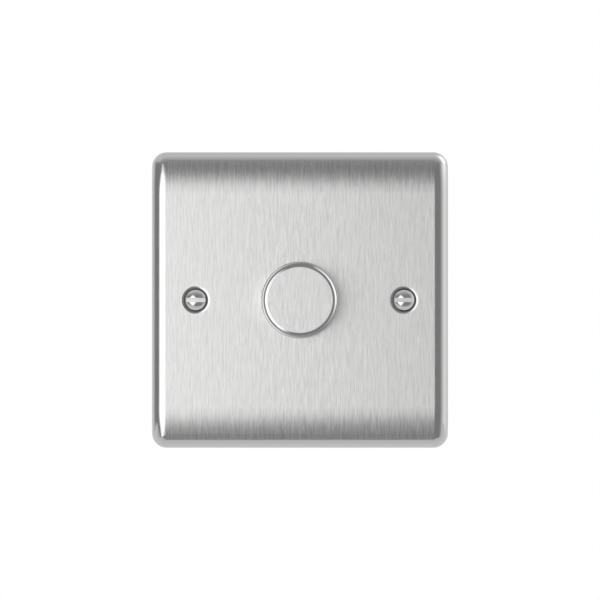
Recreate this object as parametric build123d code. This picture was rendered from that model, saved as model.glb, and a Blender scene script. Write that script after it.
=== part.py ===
from build123d import *

import os
from math import asin, cos, pi, radians, sin, sqrt, tan

# A one-gang wall dimmer switch: a pressed steel face plate with a rolled edge, a round push-and-turn
# knob at its centre, two slotted fixing screws, and the dimmer module that hangs behind the plate.
#
# Millimetres. +X is right and +Z is up, as the switch is seen on the wall. +Y runs into the wall.
# The origin is midway between the two fixing screws, in the wall's face, where the plate's rim rests.
# The knob turns clockwise (about +Y) through its range, and pushes in along +Y to work the switch.

# Face plate
plate_side = 86.0
plate_rise = 7.0
sheet = 0.9
plan_corner = 4.3
edge_roll = 4.0
bow_radius = 24.2
bow_run = 11.8
screw_spacing = 60.3
dimple_radius = 3.6
dimple_lip = 1.1
dimple_hole_radius = 2.0
dimple_angle = 90.0

# Fixing screws
screw_head_radius = 3.1
screw_head_land = 0.2
screw_dome_rise = 1.3
screw_neck_radius = 1.55
screw_thread_radius = 1.75
screw_length = 24.5
screw_point = 0.6
screw_slot_width = 1.25
screw_slot_depth = 1.0
retainer_radius = 3.4
retainer_thickness = 0.7

# Knob
knob_radius = 11.0
knob_height = 10.5
knob_wall = 1.0
knob_face_radius = 9.45
knob_groove_radius = 10.0
knob_groove_depth = 0.28
knob_rim_radius = 10.65
knob_gap = 2.0
push_travel = 1.5
core_wall = 1.2
core_web = 1.6
core_chamfer = 0.6
hub_radius = 4.9
hub_slit = 0.9
rib_count = 6
rib_thickness = 1.0
grip_ring_thickness = 0.7
grip_ring_width = 2.4
grip_ring_opening = 2.0

# Shaft, bush and their fasteners
shaft_radius = 3.0
spline_teeth = 18
spline_depth = 0.3
spline_clearance = 0.05
shaft_tip_gap = 0.4
shaft_slit = 0.8
shaft_flat = 1.9
clip_radius = 4.6
clip_thickness = 0.5
clip_groove_radius = 2.4
clip_opening = 3.8
bush_radius = 5.0
bush_flange_radius = 7.0
bush_flange_thickness = 1.2
bush_end = 0.8
bush_chamfer = 0.5
washer_radius = 7.6
washer_thickness = 0.6
washer_teeth = 12
washer_tooth_length = 1.0
nut_across_flats = 14.0
nut_thickness = 2.0
nut_bevel = 0.6

# Rotary control
cover_radius = 8.8
cover_sheet = 0.8
cover_wall = 0.5
cover_tab_count = 3
cover_tab_angle = 25.0
rotor_radius = 7.1
rotor_thickness = 1.6
rotor_hub_radius = 4.6
rotor_hub_length = 2.9
stop_angle = 34.0
lug_angle = 25.0
stop_clearance = 0.5
wiper_thickness = 0.3
wiper_finger_width = 1.2
wafer_thickness = 1.2
tongue_width = 13.0
tongue_length = 3.6
track_pin_pitch = 4.0
rivet_radius = 0.7
rivet_height = 0.5

# Push switch
switch_radius = 7.4
switch_depth = 8.1
switch_front_wall = 0.7
switch_back_wall = 1.0
switch_side_wall = 1.4
switch_post_radius = 1.2
switch_post_length = 2.0
plunger_radius = 4.0
plunger_length = 4.55
plunger_front = 1.2
plunger_bore_radius = 2.6
plunger_step_radius = 3.2
plunger_step_length = 0.7
guide_rib_count = 3
guide_rib_width = 1.4
spring_radius = 1.9
spring_wire_radius = 0.3
spring_turns = 4
contact_thickness = 0.3
contact_reach = 5.7
contact_width = 2.4
contact_ring_radius = 4.2
contact_pad = 1.2
latch_wire_radius = 0.35
latch_groove_depth = 0.55

# Module
heat_sink_thickness = 1.5
heat_sink_flange = 9.0
heat_sink_screw_room = 1.0
module_width = 46.0
module_length = 52.0
module_depth = 29.0
housing_wall = 1.6
housing_corner = 3.0
ledge_width = 1.2
board_thickness = 1.6
case_screw_radius = 1.5
case_screw_head_radius = 2.75
case_screw_head_thickness = 1.7
case_screw_cross_length = 3.3
case_screw_cross_width = 0.8
case_boss_radius = 2.7
case_screw_inset = 3.9
vent_count = 5
vent_width = 1.6
vent_length = 12.0
vent_pitch = 3.8

# Terminals
terminal_names = ["common", "one_way", "two_way"]
terminal_width = 7.0
terminal_length = 8.5
terminal_height = 7.5
wire_bore_radius = 1.8
wire_entry_width = 5.6
wire_entry_height = 5.0
wire_entry_corner = 0.8
terminal_screw_radius = 1.7
terminal_screw_head_radius = 2.5
terminal_screw_head_thickness = 1.8
terminal_screw_lift = 0.4
terminal_screw_slot = 0.9
terminal_screw_edge = 0.3
terminal_chamfer = 0.4
terminal_boss_gap = 0.9
barrier_thickness = 1.2
barrier_overhang = 1.0
earth_width = 6.5
earth_length = 7.0
earth_wall = 1.6
earth_rim_clearance = 0.7
earth_bore_radius = 1.6
earth_gap = 2.15
earth_z = -20.0

# Electronics
lead_radius = 0.35
lead_bend = 1.0
solder_tail = 0.8
triac_width = 10.0
triac_body_length = 9.2
triac_tab_length = 6.2
triac_body_thickness = 4.4
triac_tab_thickness = 1.3
triac_edge = 0.5
triac_lead_pitch = 2.54
triac_side_gap = 2.4
triac_end_gap = 1.9
triac_screw_radius = 1.5
insulator_thickness = 0.2
insulator_margin = 0.6
small_nut_across_flats = 5.2
small_nut_thickness = 1.6
choke_core_radius = 7.2
choke_core_bore = 3.9
choke_core_height = 6.5
choke_core_edge = 0.4
choke_wire = 0.9
choke_turns = 16
choke_gap = 0.8
big_capacitor_size = (17.0, 13.0, 8.0)
big_capacitor_lead_pitch = 15.0
big_capacitor_x = -6.0
small_capacitor_size = (6.0, 11.0, 13.0)
small_capacitor_lead_pitch = 10.0
small_capacitor_gap = 3.2
capacitor_edge = 0.7
fuse_radius = 2.5
fuse_length = 20.0
fuse_side_gap = 2.3
fuse_end_gap = 0.5
fuse_cap_length = 5.0
fuse_cap_thickness = 0.2
fuse_clip_width = 3.6
fuse_clip_thickness = 0.4
fuse_height = 4.1
resistor_radius = 1.15
resistor_length = 6.3
diac_radius = 0.95
diac_length = 3.8
axial_height = 0.3

# Clearances
slide_clearance = 0.05
fit_clearance = 0.1
thread_clearance = 0.05
seat_clearance = 0.02

# Places worked out from the sizes above, front to back
plate_front = -plate_rise
plate_inside = plate_front + sheet
sink_back = plate_inside + heat_sink_thickness
flange_front = sink_back + cover_sheet
flange_back = flange_front + bush_flange_thickness
clip_front = flange_back + fit_clearance
clip_back = clip_front + clip_thickness
rotor_front = clip_back + push_travel + 4 * fit_clearance
rotor_disc_back = rotor_front + rotor_thickness
rotor_back = rotor_front + rotor_hub_length
wafer_front = rotor_back + fit_clearance
wafer_back = wafer_front + wafer_thickness
switch_front = wafer_back
switch_inside = switch_front + switch_front_wall
switch_back = switch_front + switch_depth
plunger_face = switch_inside + slide_clearance
plunger_back = plunger_face + plunger_length
contact_seat = plunger_back - plunger_step_length
shaft_back = plunger_face - slide_clearance
board_front = switch_back
board_back = board_front + board_thickness
housing_back = plate_inside + heat_sink_thickness + module_depth
housing_inside = housing_back - housing_wall
washer_front = plate_front - washer_thickness
nut_front = washer_front - nut_thickness
bush_front = nut_front - bush_end
knob_back = plate_front - knob_gap
knob_front = knob_back - knob_height
knob_inside = knob_front + knob_wall
hub_back = bush_front - push_travel - 4 * fit_clearance
web_back = knob_inside + core_web
shaft_tip = web_back + shaft_tip_gap
spline_back = hub_back + 2 * fit_clearance

screw_x = screw_spacing / 2
sink_reach = module_width / 2 + fit_clearance + heat_sink_thickness
earth_x = sink_reach + earth_gap + earth_width / 2
case_screw_x = module_width / 2 - case_screw_inset
case_screw_z = module_length / 2 - case_screw_inset
case_screw_places = [(-case_screw_x, case_screw_z), (case_screw_x, -case_screw_z)]
ledge_half_length = module_length / 2 - housing_wall - ledge_width
terminal_count = len(terminal_names)
terminal_row = 2 * (case_screw_x - case_boss_radius - terminal_boss_gap) - terminal_width
terminal_pitch = terminal_row / (terminal_count - 1)
terminal_z = -ledge_half_length + fit_clearance + terminal_length / 2
terminal_back = board_back + terminal_height
wire_bore_y = board_back + terminal_height / 2 - fit_clearance
terminal_places = [(i - (terminal_count - 1) / 2) * terminal_pitch for i in range(terminal_count)]
terminal_pin_places = [terminal_z - terminal_length / 4, terminal_z + terminal_length / 4]


# Plain shapes, each between two stations along its own axis
def facing(y):
    """The plane at depth y, with +X right, +Z up, and its normal towards the viewer."""
    return Plane(origin=(0, y, 0), x_dir=(1, 0, 0), z_dir=(0, -1, 0))


def prism(outline, front, back):
    """An outline drawn as seen from the front, filled from depth front to depth back."""
    return extrude(facing(back) * outline, amount=back - front)


def block(x, y, z):
    """A box between the pairs of limits x, y and z."""
    size = [abs(pair[1] - pair[0]) for pair in (x, y, z)]
    centre = [sum(pair) / 2 for pair in (x, y, z)]
    return Pos(*centre) * Box(*size)


def rod(radius, front, back, x=0.0, z=0.0):
    """A round bar along Y."""
    return Pos(x, (front + back) / 2, z) * Rot(90, 0, 0) * Cylinder(radius, back - front)


def upright_rod(radius, low, high, x, y):
    """A round bar along Z."""
    return Pos(x, y, (low + high) / 2) * Cylinder(radius, high - low)


def turned(profile, x=0.0, z=0.0):
    """A solid of revolution about the Y direction through (x, z), from (radius, y) points."""
    face = make_face(Polyline(*profile, close=True))
    return Pos(x, 0, z) * revolve(face, Axis.Y, 360)


def tube(outer, inner, front, back, x=0.0, z=0.0):
    """A round tube along Y."""
    return turned([(inner, front), (outer, front), (outer, back), (inner, back)], x, z)


def sector(outer, inner, angle, front, back):
    """A part of a ring, angle degrees wide, centred on straight down."""
    half = radians(angle / 2)
    reach = outer / cos(half) * 1.2
    wedge = Polygon((0, 0), (-reach * sin(half), -reach * cos(half)), (0, -reach),
                    (reach * sin(half), -reach * cos(half)), align=None)
    ring = Circle(outer) - Circle(inner)
    return prism(ring & wedge, front, back)


def turn(shape, angle):
    """Turns a shape about the knob's axis, clockwise as seen from the front."""
    return shape.rotate(Axis.Y, angle)


def splined(tip_radius, root_radius):
    """The outline of a splined shaft or bore with spline_teeth straight teeth."""
    step = pi / spline_teeth
    points = []
    for i in range(2 * spline_teeth):
        radius = tip_radius if i % 2 else root_radius
        points.append((radius * cos(i * step), radius * sin(i * step)))
    return make_face(Polyline(*points, close=True))


def d_outline(radius, flat):
    """A circle with a flat across its top."""
    return Circle(radius) - Pos(0, flat + radius) * Rectangle(4 * radius, 2 * radius)


def lead(x, z, start, radius=lead_radius):
    """A round lead from depth start through the board, with its soldered tail behind it."""
    return rod(radius, start, board_back + solder_tail, x, z)


def bent_lead(x, y, start_z, end_z):
    """A lead that leaves a body along Z at depth y, and bends back through the board at end_z."""
    level = upright_rod(lead_radius, min(start_z, end_z), max(start_z, end_z), x, y)
    return level + Pos(x, y, end_z) * Sphere(lead_radius) + lead(x, end_z, y)


# Face plate
def pillow(inset):
    """The plate's outer form, taken in all over by inset: flat in front, bowed back towards its
    upper and lower ends, with rounded corners and one rolled edge all the way round."""
    half = plate_side / 2 - inset
    bow = bow_radius - inset
    front = plate_front + inset
    bow_start = plate_side / 2 - bow_run
    run = half - bow_start
    drop = bow - sqrt(bow**2 - run**2)
    mid_run = bow * sin(asin(run / bow) / 2)
    mid_drop = bow - sqrt(bow**2 - mid_run**2)
    base = 0.0 if inset == 0 else sheet
    bow_mid = (front + mid_drop, bow_start + mid_run)
    bow_end = (front + drop, half)
    section = Line((front, -bow_start), (front, bow_start))
    section += ThreePointArc((front, bow_start), bow_mid, bow_end)
    section += Polyline(bow_end, (base, half), (base, -half), (bow_end[0], -half))
    section += ThreePointArc((bow_end[0], -half), (bow_mid[0], -bow_mid[1]), (front, -bow_start))
    side_on = Plane(origin=(0, 0, 0), x_dir=(0, 1, 0), z_dir=(1, 0, 0))
    bowed = extrude(side_on * make_face(section), amount=half, both=True)
    plan = prism(RectangleRounded(2 * half, 2 * half, plan_corner - inset), 2 * plate_front, base)
    body = bowed & plan
    front_edges = [e for f in body.faces() if f.normal_at().Y < -0.5 for e in f.edges()]
    rim = [e for e in front_edges if abs(e.center().X) > 1 or abs(e.center().Z) > bow_start + 1]
    return fillet(rim, edge_roll - inset)


cone_slope = tan(radians(dimple_angle / 2))
cone_wall = sheet / cos(radians(dimple_angle / 2))
dimple_bottom = plate_front + (dimple_radius - dimple_hole_radius) / cone_slope
dimple_back = dimple_bottom + cone_wall / 2
screw_seat = plate_front + (dimple_radius - screw_head_radius - slide_clearance) / cone_slope
screw_rim = screw_seat - screw_head_land
screw_tip = screw_rim + screw_length
retainer_front = dimple_back + seat_clearance
retainer_back = retainer_front + retainer_thickness


def make_face_plate():
    """The pressed plate, with a conical dimple for each screw, rounded in at its lip, and a hole for
    the bush."""
    plate = pillow(0.0) - pillow(sheet)
    outside = dimple_radius + cone_wall
    outside_back = outside - (dimple_back - plate_front) * cone_slope
    for x in (-screw_x, screw_x):
        boss = turned([(0, plate_front), (outside, plate_front), (outside_back, dimple_back),
                       (0, dimple_back)], x)
        cone = turned([(0, plate_front), (dimple_radius, plate_front), (dimple_hole_radius, dimple_bottom),
                       (dimple_hole_radius, 0), (0, 0)], x)
        plate = plate + boss - cone
    lips = plate.edges().group_by(Axis.Y)[0].filter_by(GeomType.CIRCLE)
    plate = fillet(lips, dimple_lip)
    return plate - rod(bush_radius + fit_clearance, plate_front - 1, plate_inside + 1)


def make_fixing_screw(x):
    """A raised countersunk head with a narrow land and one level slot, a plain neck and a threaded
    length."""
    head, neck, thread = screw_head_radius, screw_neck_radius, screw_thread_radius
    top = screw_rim - screw_dome_rise
    neck_front = screw_seat + (head - neck) / cone_slope
    thread_front = retainer_back + 2 * fit_clearance
    dome_radius = (head**2 + screw_dome_rise**2) / (2 * screw_dome_rise)
    mid = head / 2
    mid_y = top + dome_radius - sqrt(dome_radius**2 - mid**2)
    outline = Polyline((head, screw_rim), (head, screw_seat), (neck, neck_front), (neck, thread_front),
                       (thread, thread_front + fit_clearance), (thread, screw_tip - screw_point),
                       (thread - screw_point, screw_tip), (0, screw_tip), (0, top))
    outline += ThreePointArc((0, top), (mid, mid_y), (head, screw_rim))
    screw = Pos(x, 0, 0) * revolve(make_face(outline), Axis.Y, 360)
    half_slot = screw_slot_width / 2
    slot = block((x - 2 * screw_head_radius, x + 2 * screw_head_radius), (top - 1, top + screw_slot_depth),
                 (-half_slot, half_slot))
    return screw - slot


def make_retainer(x):
    """The thin washer that keeps a fixing screw in the plate before it is fitted."""
    return tube(retainer_radius, screw_neck_radius + slide_clearance, retainer_front, retainer_back, x)


earth_bore_y = earth_rim_clearance + earth_bore_radius
earth_back = earth_bore_y + earth_bore_radius + earth_wall


def make_earth_terminal():
    """A brass block on the plate's back, with its wire bore just behind the plate's rim."""
    x = (earth_x - earth_width / 2, earth_x + earth_width / 2)
    z = (earth_z - earth_length / 2, earth_z + earth_length / 2)
    body = block(x, (plate_inside, earth_back), z)
    body = chamfer(body.edges().group_by(Axis.Y)[-1], terminal_chamfer)
    body -= upright_rod(earth_bore_radius, z[0] - 1, z[1] + 1, earth_x, earth_bore_y)
    tapped = terminal_screw_radius + thread_clearance
    return body - rod(tapped, earth_bore_y, earth_back + 1, earth_x, earth_z)


def make_clamp_screw(x, z, bore_y, bore_radius, block_back):
    """A slotted cheese-head clamp screw, backed out so that the wire bore is clear."""
    head_front = block_back + terminal_screw_lift
    head_back = head_front + terminal_screw_head_thickness
    shank = rod(terminal_screw_radius, bore_y + bore_radius + fit_clearance, head_front, x, z)
    head = rod(terminal_screw_head_radius, head_front, head_back, x, z)
    head = chamfer(head.edges().group_by(Axis.Y)[-1], terminal_screw_edge)
    half_slot = terminal_screw_slot / 2
    slot = block((x - 2 * terminal_screw_head_radius, x + 2 * terminal_screw_head_radius),
                 (head_back - terminal_screw_head_thickness / 2, head_back + 1),
                 (z - half_slot, z + half_slot))
    return shank + head - slot


# Knob
def make_knob_shell():
    """A turned metal cap: a flat face with a shallow groove round it, a rounded rim and a skirt."""
    r, inner = knob_radius, knob_radius - knob_wall
    edge = r - knob_rim_radius
    bend = edge * (1 - cos(pi / 4))
    outline = Polyline((0, knob_inside), (0, knob_front), (knob_face_radius, knob_front),
                       (knob_groove_radius, knob_front + knob_groove_depth), (knob_rim_radius, knob_front))
    outline += ThreePointArc((knob_rim_radius, knob_front), (r - bend, knob_front + bend),
                             (r, knob_front + edge))
    outline += Polyline((r, knob_front + edge), (r, knob_back), (inner, knob_back), (inner, knob_inside),
                        (0, knob_inside))
    return revolve(make_face(outline), Axis.Y, 360)


def make_knob_core():
    """The moulded inside of the knob: a web behind the face, a sleeve in the skirt, and ribs that
    carry a slit hub with a splined bore."""
    outer = knob_radius - knob_wall - seat_clearance
    front = knob_inside + seat_clearance
    inner = outer - core_wall
    back = knob_back - fit_clearance
    sleeve = turned([(0, front), (outer - core_chamfer, front), (outer, front + core_chamfer), (outer, back),
                     (inner, back), (inner, web_back), (0, web_back)])
    ribs_back = hub_back - grip_ring_width - 2 * fit_clearance
    core = sleeve + rod(hub_radius, web_back - fit_clearance, hub_back)
    half_rib = rib_thickness / 2
    for i in range(rib_count):
        rib = block((hub_radius - 1, inner + fit_clearance), (web_back - fit_clearance, ribs_back),
                    (-half_rib, half_rib))
        core += turn(rib, (i + 0.5) * 360 / rib_count)
    bore = splined(shaft_radius + spline_clearance, shaft_radius - spline_depth + spline_clearance)
    core -= prism(bore, web_back, hub_back + 1)
    half_slit = hub_slit / 2
    return core - block((-hub_radius - 1, hub_radius + 1), (ribs_back, hub_back + 1), (-half_slit, half_slit))


def make_grip_ring():
    """The open steel ring round the knob's slit hub, which squeezes it onto the shaft."""
    inner = hub_radius + seat_clearance
    ring = tube(inner + grip_ring_thickness, inner, hub_back - grip_ring_width, hub_back)
    half = grip_ring_opening / 2
    return ring - block((-half, half), (hub_back - grip_ring_width - 1, hub_back + 1), (0, 2 * hub_radius))


# Shaft, bush and their fasteners
def make_shaft():
    """A slit splined end for the knob, a round journal with a clip groove, and a drive flat that
    starts far enough forward to slide into the rotor by the push travel."""
    spline = prism(splined(shaft_radius, shaft_radius - spline_depth), shaft_tip, spline_back)
    flat_front = rotor_front - push_travel - 2 * fit_clearance
    journal = rod(shaft_radius, spline_back, flat_front)
    drive = prism(d_outline(shaft_radius, shaft_flat), flat_front, shaft_back)
    groove = tube(shaft_radius + 1, clip_groove_radius, clip_front - slide_clearance,
                  clip_back + slide_clearance)
    half_slit = shaft_slit / 2
    slit = block((-half_slit, half_slit), (shaft_tip - 1, spline_back), (-shaft_radius - 1, shaft_radius + 1))
    return spline + journal + drive - groove - slit


def make_shaft_clip():
    """The open clip in the shaft's groove, which stops the shaft pulling out of the bush."""
    ring = tube(clip_radius, clip_groove_radius + seat_clearance, clip_front, clip_back)
    half = clip_opening / 2
    return ring - block((-half, half), (clip_front - 1, clip_back + 1), (-2 * clip_radius, 0))


def make_bush():
    """The threaded bush that the shaft runs in, with the flange that holds the control's cover."""
    bore = shaft_radius + slide_clearance
    return turned([(bore, bush_front), (bush_radius - bush_chamfer, bush_front),
                   (bush_radius, bush_front + bush_chamfer), (bush_radius, flange_front),
                   (bush_flange_radius, flange_front), (bush_flange_radius, flange_back),
                   (bore, flange_back)])


def make_lock_washer():
    """A flat washer with locking teeth round its bore."""
    bore = bush_radius + fit_clearance
    root = bore + washer_tooth_length
    washer = tube(washer_radius, root, washer_front, plate_front)
    tooth_angle = 360 / washer_teeth
    for i in range(washer_teeth):
        tooth = sector(root + fit_clearance, bore, tooth_angle / 2, washer_front, plate_front)
        washer += turn(tooth, i * tooth_angle)
    return washer


def make_nut():
    """The hexagon nut on the bush, with its front corners bevelled."""
    hexagon = RegularPolygon(nut_across_flats / 2, 6, major_radius=False)
    corner = nut_across_flats / sqrt(3)
    bevel = turned([(0, nut_front), (nut_across_flats / 2, nut_front), (corner, nut_front + nut_bevel),
                    (corner, washer_front), (0, washer_front)])
    nut = prism(hexagon, nut_front, washer_front) & bevel
    return nut - rod(bush_radius + thread_clearance, nut_front - 1, washer_front + 1)


# Rotary control
def make_pot_cover():
    """The control's drawn steel cup, with an inward stop at the bottom and three folded tabs."""
    inner = cover_radius - cover_wall
    bore = bush_radius + fit_clearance
    cup = turned([(bore, sink_back), (cover_radius, sink_back), (cover_radius, wafer_back),
                  (inner, wafer_back), (inner, flange_front), (bore, flange_front)])
    cup += sector(inner + cover_wall / 2, rotor_radius + 2 * fit_clearance, stop_angle, rotor_front,
                  rotor_disc_back)
    for i in range(cover_tab_count):
        tab = sector(cover_radius, switch_radius + fit_clearance, cover_tab_angle, wafer_back,
                     wafer_back + cover_wall)
        cup += turn(tab, (i + 1) * 360 / (cover_tab_count + 1))
    half = tongue_width / 2 + fit_clearance
    notch = block((-half, half), (wafer_front - fit_clearance, wafer_back + 1), (-cover_radius - 1, 0))
    return cup - (notch - rod(inner, wafer_front - 1, wafer_back + 2))


def make_rotor():
    """The wiper carrier: it turns with the shaft, and the shaft's flat slides through it."""
    rotor = rod(rotor_radius, rotor_front, rotor_disc_back)
    rotor += rod(rotor_hub_radius, rotor_front, rotor_back)
    lug = sector(cover_radius - cover_wall - 3 * fit_clearance, rotor_radius - 1, lug_angle, rotor_front,
                 rotor_disc_back)
    rotor += turn(lug, (stop_angle + lug_angle) / 2 + stop_clearance)
    bore = d_outline(shaft_radius + slide_clearance, shaft_flat + slide_clearance)
    return rotor - prism(bore, rotor_front - 1, rotor_back + 1)


def make_wiper():
    """A sprung contact ring on the rotor's back, with two fingers that reach the track."""
    back = rotor_disc_back + wiper_thickness
    ring = tube(rotor_radius - 2 * fit_clearance, rotor_hub_radius + fit_clearance, rotor_disc_back, back)
    middle = (rotor_radius + rotor_hub_radius) / 2
    reach = wafer_front - slide_clearance
    for x in (-middle, middle):
        finger = block((x - wiper_thickness, x + wiper_thickness), (rotor_disc_back, reach),
                       (-wiper_finger_width / 2, wiper_finger_width / 2))
        ring += finger
    return ring


track_pin_places = [-track_pin_pitch, 0.0, track_pin_pitch]
track_pin_z = -cover_radius - tongue_length / 2


def make_wafer():
    """The insulating disc that carries the track, with a tongue for its three pins."""
    disc = rod(cover_radius - cover_wall - slide_clearance, wafer_front, wafer_back)
    half = tongue_width / 2
    tongue = block((-half, half), (wafer_front, wafer_back),
                   (-cover_radius - tongue_length, -cover_radius / 2))
    bore = rod(shaft_radius + 6 * fit_clearance, wafer_front - 1, wafer_back + 1)
    wafer = disc + tongue - bore
    for x in track_pin_places:
        wafer -= rod(lead_radius + slide_clearance, wafer_front - 1, wafer_back + 1, x, track_pin_z)
    return wafer


def make_track_pins():
    """Three riveted pins from the wafer's tongue to the board."""
    pins = []
    for x in track_pin_places:
        rivet = rod(rivet_radius, wafer_back, wafer_back + rivet_height, x, track_pin_z)
        rivet += rod(rivet_radius, wafer_front - rivet_height, wafer_front, x, track_pin_z)
        pins.append(rivet + lead(x, track_pin_z, wafer_front - rivet_height))
    return Compound(children=pins)


# Push switch
guide_radius = plunger_radius + slide_clearance
contact_gap_y = contact_seat + contact_thickness + push_travel + fit_clearance
contact_pad_x = contact_reach - contact_pad / 2
latch_z = contact_ring_radius + latch_wire_radius + 3 * fit_clearance
latch_hook_y = contact_seat - latch_wire_radius - 2 * fit_clearance
latch_floor = plunger_radius - latch_groove_depth
switch_floor = switch_back - switch_back_wall


def make_switch_body():
    """The push switch's moulded barrel, with guide ribs, a spring post and holes for the contacts."""
    cavity = switch_radius - switch_side_wall
    body = rod(switch_radius, switch_front, switch_back)
    body -= rod(cavity, switch_inside, switch_floor)
    body -= rod(shaft_radius + 4 * fit_clearance, switch_front - 1, switch_inside + 1)
    body += rod(switch_post_radius, switch_floor - switch_post_length, switch_floor + fit_clearance)
    half = guide_rib_width / 2
    ribs_back = contact_seat - 2 * fit_clearance
    for i in range(guide_rib_count):
        rib = block((guide_radius, cavity + fit_clearance), (switch_inside - fit_clearance, ribs_back),
                    (-half, half))
        body += turn(rib, 90 + i * 360 / guide_rib_count)
    for x in (-contact_pad_x, contact_pad_x):
        body -= rod(lead_radius + slide_clearance, switch_inside + 1, switch_back + 1, x)
    return body


def make_plunger():
    """The sliding cup that the shaft's end pushes back, with a groove for the latch wire."""
    plunger = rod(plunger_radius, plunger_face, contact_seat)
    plunger += rod(plunger_step_radius, plunger_face, plunger_back)
    plunger -= rod(plunger_bore_radius, plunger_face + plunger_front, plunger_back + 1)
    half = latch_wire_radius + fit_clearance
    groove_front = latch_hook_y - push_travel - half - fit_clearance
    groove = block((-half, half), (groove_front, contact_seat), (latch_floor, plunger_radius + 1))
    return plunger - groove


def make_moving_contact():
    """The bridge on the plunger that joins the two fixed contacts when the knob is pushed."""
    front, back = contact_seat, contact_seat + contact_thickness
    bridge = rod(contact_ring_radius, front, back)
    half = contact_width / 2
    bridge += block((-contact_reach, contact_reach), (front, back), (-half, half))
    return bridge - rod(plunger_step_radius + seat_clearance, front - 1, back + 1)


def make_fixed_contact(side):
    """A contact pad on a pin that runs through the switch's back and the board."""
    x = side * contact_pad_x
    half = contact_pad / 2
    pad = block((x - half, x + half), (contact_gap_y, switch_floor), (-half, half))
    return pad + lead(x, 0.0, contact_gap_y + fit_clearance)


def make_return_spring():
    """The coil spring between the plunger's inside and the switch's back wall."""
    front = plunger_face + plunger_front + spring_wire_radius + seat_clearance
    back = switch_floor - spring_wire_radius - seat_clearance
    length = back - front
    coil = Helix(pitch=length / spring_turns, height=length, radius=spring_radius, center=(0, front, 0),
                 direction=(0, 1, 0))
    section = Plane(origin=coil @ 0, z_dir=coil % 0) * Circle(spring_wire_radius)
    return sweep(section, path=coil, is_frenet=True)


def make_latch_wire():
    """The bent wire that follows the plunger's groove and holds the switch on or off."""
    leg = rod(latch_wire_radius, latch_hook_y, switch_floor, 0.0, latch_z)
    hook = upright_rod(latch_wire_radius, latch_floor + fit_clearance, latch_z, 0.0, latch_hook_y)
    return leg + hook + Pos(0, latch_hook_y, latch_z) * Sphere(latch_wire_radius)


# Module case
def make_heat_sink():
    """The aluminium mounting plate, with its two long sides bent back over the housing, and with
    room for the fixing screws beside it."""
    inner = sink_reach - heat_sink_thickness
    back = sink_back + heat_sink_flange
    sink = block((-sink_reach, sink_reach), (plate_inside, back), (-module_length / 2, module_length / 2))
    sink -= block((-inner, inner), (sink_back, back + 1), (-module_length, module_length))
    bends = [e for e in sink.edges().filter_by(Axis.Z)
             if abs(e.center().X) > inner + seat_clearance and e.center().Y < sink_back]
    sink = fillet(bends, heat_sink_thickness)
    corners = [e for e in sink.edges().filter_by(Axis.X) if e.center().Y > back - seat_clearance]
    sink = fillet(corners, housing_corner)
    sink -= rod(bush_radius + fit_clearance, plate_inside - 1, sink_back + 1)
    for x in (-screw_x, screw_x):
        sink -= rod(retainer_radius + heat_sink_screw_room, plate_inside - 1, back + 1, x)
    for x, z in case_screw_places:
        sink -= rod(case_screw_radius + thread_clearance, plate_inside - 1, sink_back + 1, x, z)
    return sink - triac_screw_cone(fit_clearance / 2)


case_head_front = housing_back - case_screw_head_thickness - fit_clearance
inner_corner = housing_corner - housing_wall
vent_centre_z = module_length / 6


def make_case_boss(x, z):
    """A round screw boss, joined to the two walls of its corner."""
    side_x, side_z = (1 if x > 0 else -1), (1 if z > 0 else -1)
    wall_x, wall_z = side_x * (module_width - housing_wall) / 2, side_z * (module_length - housing_wall) / 2
    depth = (sink_back, housing_inside + fit_clearance)
    boss = rod(case_boss_radius, *depth, x, z)
    boss += block((x, wall_x), depth, (z - side_z * case_boss_radius, wall_z))
    return boss + block((x - side_x * case_boss_radius, x), depth, (z, wall_z))


def make_housing():
    """The moulded rear case: a wall round the board, a ledge behind it, screw bosses, barriers
    between the terminals that end clear of the solder, wire entries below, and screw access and air
    slots in the back."""
    half_z = module_length / 2
    shell = prism(RectangleRounded(module_width, module_length, housing_corner), sink_back, housing_back)
    shell = fillet(shell.edges().group_by(Axis.Y)[-1], housing_corner / 2)
    case = shell
    for taken, depth in ((housing_wall, board_back), (housing_wall + ledge_width, housing_inside)):
        room = RectangleRounded(module_width - 2 * taken, module_length - 2 * taken, inner_corner)
        case -= prism(room, sink_back - 1, depth)
    for x, z in case_screw_places:
        case += make_case_boss(x, z)
    barrier_top = terminal_z + terminal_length / 2 + barrier_overhang
    for i in range(terminal_count + 1):
        x = (i - terminal_count / 2) * terminal_pitch
        case += block((x - barrier_thickness / 2, x + barrier_thickness / 2),
                      (board_back + solder_tail + 2 * fit_clearance, housing_inside + fit_clearance),
                      (-ledge_half_length - fit_clearance, barrier_top))
    for x, z in case_screw_places:
        case -= rod(case_screw_radius + fit_clearance, sink_back - 1, housing_back + 1, x, z)
        case -= rod(case_screw_head_radius + 2 * fit_clearance, case_head_front, housing_back + 1, x, z)
    entry = RectangleRounded(wire_entry_width, wire_entry_height, wire_entry_corner)
    entry_depth = half_z + 1 - ledge_half_length + fit_clearance / 2
    access = terminal_screw_head_radius + 4 * fit_clearance
    for x in terminal_places:
        case -= extrude(Plane(origin=(x, wire_bore_y, -half_z - 1)) * entry, amount=entry_depth)
        case -= rod(access, housing_inside - 1, housing_back + 1, x, terminal_z)
    for i in range(vent_count):
        z = vent_centre_z + (i - (vent_count - 1) / 2) * vent_pitch
        case -= prism(Pos(0, z) * SlotOverall(vent_length, vent_width), housing_inside - 1, housing_back + 1)
    return case


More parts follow.
